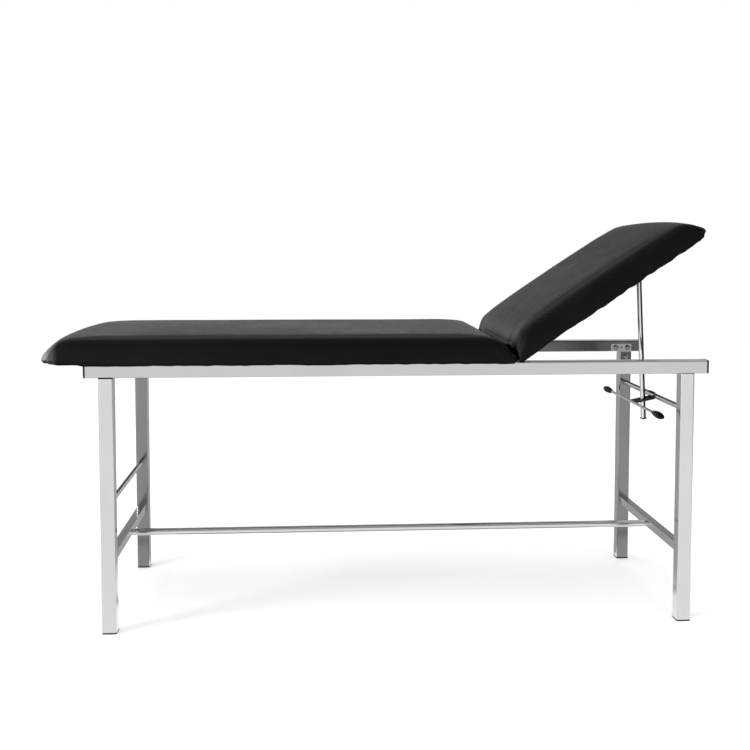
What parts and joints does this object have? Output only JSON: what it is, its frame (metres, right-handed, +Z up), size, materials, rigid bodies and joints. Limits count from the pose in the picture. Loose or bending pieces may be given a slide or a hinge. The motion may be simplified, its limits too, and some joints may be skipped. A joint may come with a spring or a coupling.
{
  "type": "examination couch",
  "caption": "Padded examination couch on a square tube frame, with a hinged backrest on a support rod held by a friction plate, and a release bar with knobs.",
  "frame": {"origin": "on the floor, under the middle of the couch's box with the backrest as drawn", "axes": "+X towards the head end, +Y across the couch, +Z up"},
  "size_m": [1.7554, 0.612, 1.0834],
  "materials": {
    "frame_steel": "polished stainless tube, soft mirror sheen",
    "bright_steel": "bright polished",
    "zinc_steel": "zinc plated",
    "blackened_steel": "black, satin",
    "black_plastic": "moulded, matte",
    "knob_plastic": "moulded, glossy",
    "black_vinyl": "grained artificial leather, low sheen",
    "foam": "open-cell foam",
    "plywood": "raw plywood"
  },
  "bodies": {
    "frame": {"near_side_rail": "frame_steel", "far_side_rail": "frame_steel", "rail_end_plugs": "black_plastic", "foot_near_leg": "frame_steel", "foot_far_leg": "frame_steel", "head_near_leg": "frame_steel", "head_far_leg": "frame_steel", "leg_top_plugs": "black_plastic", "leg_foot_caps": "black_plastic", "foot_upper_cross_tube": "frame_steel", "head_upper_cross_tube": "frame_steel", "foot_lower_cross_rail": "frame_steel", "head_lower_cross_rail": "frame_steel", "stretcher_tube": "frame_steel", "stretcher_inserts": "zinc_steel", "stretcher_bolts": "zinc_steel", "leg_brackets": "bright_steel", "leg_bracket_bolts": "bright_steel", "weld_nuts": "zinc_steel", "board_support_bars": "frame_steel", "hinge_brackets": "bright_steel", "hinge_bracket_bolts": "zinc_steel", "hinge_pins": "zinc_steel", "mattress_board": "plywood", "mattress_board_screws": "zinc_steel", "mattress_foam": "foam", "mattress_cover": "black_vinyl"},
    "backrest": {"backrest_board": "plywood", "backrest_foam": "foam", "backrest_cover": "black_vinyl", "hinge_leaves": "bright_steel", "hinge_leaf_screws": "zinc_steel", "rod_clevis": "zinc_steel", "rod_clevis_screws": "zinc_steel", "clevis_pin": "zinc_steel", "clevis_pin_ring": "zinc_steel"},
    "rod": {"support_rod": "bright_steel", "rod_stop_washer": "blackened_steel", "rod_stop_screw": "blackened_steel"},
    "lever": {"friction_plate": "blackened_steel", "release_bar": "bright_steel", "near_knob": "knob_plastic", "far_knob": "knob_plastic"}
  },
  "joints": [
    {"name": "backrest_hinge", "type": "hinge", "parent": "frame", "child": "backrest", "pos_m": [0.35525, 0, 0.722], "axis": [0, -1, 0], "range_deg": [-34, 5]},
    {"name": "rod_pivot", "type": "hinge", "parent": "backrest", "child": "rod", "pos_m": [0.77765, 0, 0.93021], "axis": [0, -1, 0], "range_deg": [-2.5, 17]},
    {"name": "release_lever", "type": "hinge", "parent": "frame", "child": "lever", "pos_m": [0.82125, 0, 0.5787], "axis": [0, 1, 0], "range_deg": [0, 8]}
  ],
  "couplings": [
    {"joint": "rod_pivot", "follows": "backrest_hinge", "ratio": -0.5}
  ]
}
